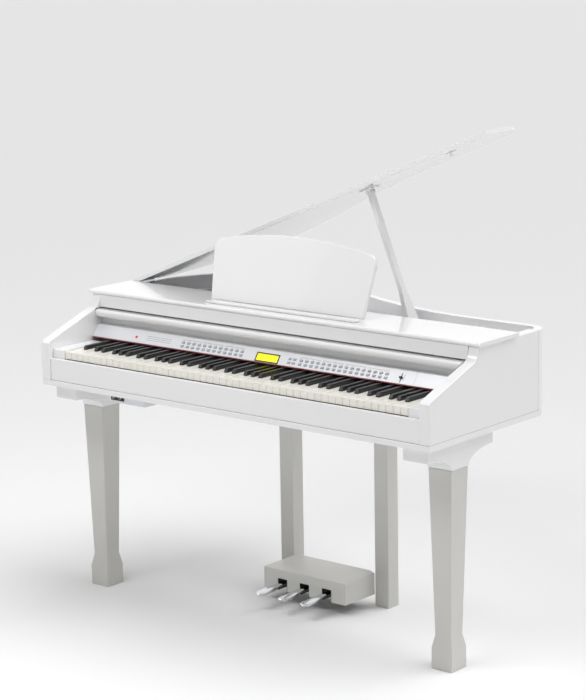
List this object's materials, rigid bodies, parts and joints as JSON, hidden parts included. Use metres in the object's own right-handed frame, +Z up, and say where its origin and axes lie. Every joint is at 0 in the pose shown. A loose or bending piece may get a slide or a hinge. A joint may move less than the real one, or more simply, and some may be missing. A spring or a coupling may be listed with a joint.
{
  "type": "digital piano",
  "caption": "White digital piano in a small grand-piano cabinet: propped lid, sloped control panel, full keyboard, music desk, sliding key cover, tapered legs and pedal box.",
  "frame": {"origin": "middle of the whole object's box, on the floor, with the lid propped open", "axes": "+Z up, +X to the player's right (treble), -Y towards the player"},
  "size_m": [1.398, 0.809, 1.3951],
  "materials": {
    "white_lacquer": "high gloss white lacquer on board",
    "chrome": "polished",
    "steel": "satin",
    "key_white": "smooth, slightly warm white",
    "key_black": "satin black",
    "panel_silver": "pale silver, fine satin",
    "button_grey": "smooth grey rubber",
    "power_red": "smooth",
    "screen_yellow": "lit yellow display behind a clear window",
    "red_felt": "pressed felt",
    "black_plastic": "moulded, fine texture",
    "circuit_board": "green solder mask",
    "grille_grey": "moulded slots"
  },
  "bodies": {
    "case": {"bottom_board": "white_lacquer", "catch_plate": "chrome", "control_panel": "panel_silver", "desk_hinge_board_leaf": "chrome", "desk_ledge": "white_lacquer", "display_window": "screen_yellow", "felt_strip": "red_felt", "headphone_box": "panel_silver", "headphone_sockets": "black_plastic", "inner_panel": "white_lacquer", "key_frame": "black_plastic", "key_slip": "white_lacquer", "left_bracket": "white_lacquer", "left_cover_guide": "steel", "left_grille": "grille_grey", "left_key_block": "white_lacquer", "left_leg": "white_lacquer", "left_post": "white_lacquer", "left_side_panel": "white_lacquer", "left_speaker": "black_plastic", "lid_hinge_case_leaf": "chrome", "lid_rail": "white_lacquer", "main_board": "circuit_board", "name_board": "white_lacquer", "panel_end": "panel_silver", "panel_shelf": "white_lacquer", "pedal_axle": "steel", "pedal_box": "white_lacquer", "power_inlet": "black_plastic", "power_supply": "steel", "prop_rest": "white_lacquer", "rear_rim": "white_lacquer", "right_bracket": "white_lacquer", "right_cover_guide": "steel", "right_grille": "grille_grey", "right_key_block": "white_lacquer", "right_leg": "white_lacquer", "right_post": "white_lacquer", "right_side_panel": "white_lacquer", "right_speaker": "black_plastic", "top_board": "white_lacquer"},
    "lid": {"lid": "white_lacquer", "lid_hinge_lid_leaf": "chrome", "lid_catch_pin": "chrome", "prop_bracket": "chrome"},
    "prop": {"prop_stick": "white_lacquer"},
    "desk": {"music_desk": "white_lacquer", "desk_hinge_desk_leaf": "chrome"},
    "cover_carriage": {"cover_rod": "steel"},
    "key_cover": {"key_cover": "white_lacquer"},
    "white_keys": {"white_keys": "key_white"},
    "black_keys": {"black_keys": "key_black"},
    "left_pedal": {"left_pedal": "chrome"},
    "middle_pedal": {"middle_pedal": "chrome"},
    "right_pedal": {"right_pedal": "chrome"},
    "left_buttons": {"left_buttons": "button_grey"},
    "cursor_buttons": {"cursor_buttons": "button_grey"},
    "right_buttons": {"right_buttons": "button_grey"},
    "power_button": {"power_button": "power_red"},
    "volume_slider": {"volume_slider": "black_plastic"}
  },
  "joints": [
    {"name": "lid_hinge", "type": "hinge", "parent": "case", "child": "lid", "pos_m": [-0.6945, 0, 0.862], "axis": [0, 1, 0], "range_deg": [0, 22]},
    {"name": "prop_fold", "type": "hinge", "parent": "lid", "child": "prop", "pos_m": [0.15837, 0.0525, 1.19364], "axis": [0, 1, 0], "range_deg": [-90, 0]},
    {"name": "desk_fold", "type": "hinge", "parent": "case", "child": "desk", "pos_m": [0, -0.1215, 0.8776], "axis": [-1, 0, 0], "range_deg": [0, 45]},
    {"name": "cover_slide", "type": "slide", "parent": "case", "child": "cover_carriage", "axis": [0, -1, 0], "range_m": [0, 0.181]},
    {"name": "cover_tilt", "type": "hinge", "parent": "cover_carriage", "child": "key_cover", "pos_m": [0, -0.0245, 0.817], "axis": [1, 0, 0], "range_deg": [0, 19.8]},
    {"name": "white_key_press", "type": "hinge", "parent": "case", "child": "white_keys", "pos_m": [0, -0.1725, 0.716], "axis": [1, 0, 0], "range_deg": [0, 2.6], "stiffness_Nm_per_rad": 60, "springref_deg": -14.32},
    {"name": "black_key_press", "type": "hinge", "parent": "case", "child": "black_keys", "pos_m": [0, -0.1725, 0.716], "axis": [1, 0, 0], "range_deg": [0, 2.6], "stiffness_Nm_per_rad": 20, "springref_deg": -14.32},
    {"name": "left_pedal_press", "type": "hinge", "parent": "case", "child": "left_pedal", "pos_m": [-0.081, 0.0255, 0.058], "axis": [1, 0, 0], "range_deg": [0, 7], "stiffness_Nm_per_rad": 8, "springref_deg": -14.32},
    {"name": "middle_pedal_press", "type": "hinge", "parent": "case", "child": "middle_pedal", "pos_m": [0, 0.0255, 0.058], "axis": [1, 0, 0], "range_deg": [0, 7], "stiffness_Nm_per_rad": 8, "springref_deg": -14.32},
    {"name": "right_pedal_press", "type": "hinge", "parent": "case", "child": "right_pedal", "pos_m": [0.081, 0.0255, 0.058], "axis": [1, 0, 0], "range_deg": [0, 7], "stiffness_Nm_per_rad": 8, "springref_deg": -14.32},
    {"name": "left_buttons_press", "type": "slide", "parent": "case", "child": "left_buttons", "axis": [0, 0.812, -0.5836], "range_m": [0, 0.001], "stiffness_N_per_m": 400, "springref_m": -0.002},
    {"name": "cursor_buttons_press", "type": "slide", "parent": "case", "child": "cursor_buttons", "axis": [0, 0.812, -0.5836], "range_m": [0, 0.001], "stiffness_N_per_m": 400, "springref_m": -0.002},
    {"name": "right_buttons_press", "type": "slide", "parent": "case", "child": "right_buttons", "axis": [0, 0.812, -0.5836], "range_m": [0, 0.001], "stiffness_N_per_m": 400, "springref_m": -0.002},
    {"name": "power_press", "type": "slide", "parent": "case", "child": "power_button", "axis": [0, 0.812, -0.5836], "range_m": [0, 0.001], "stiffness_N_per_m": 200, "springref_m": -0.002},
    {"name": "volume_slide", "type": "slide", "parent": "case", "child": "volume_slider", "axis": [0, 0.5836, 0.812], "range_m": [-0.01, 0.01]}
  ],
  "couplings": [
    {"joint": "prop_fold", "follows": "lid_hinge", "ratio": -4.0909},
    {"joint": "cover_tilt", "follows": "cover_slide", "rad_per_m": 1.9093}
  ]
}
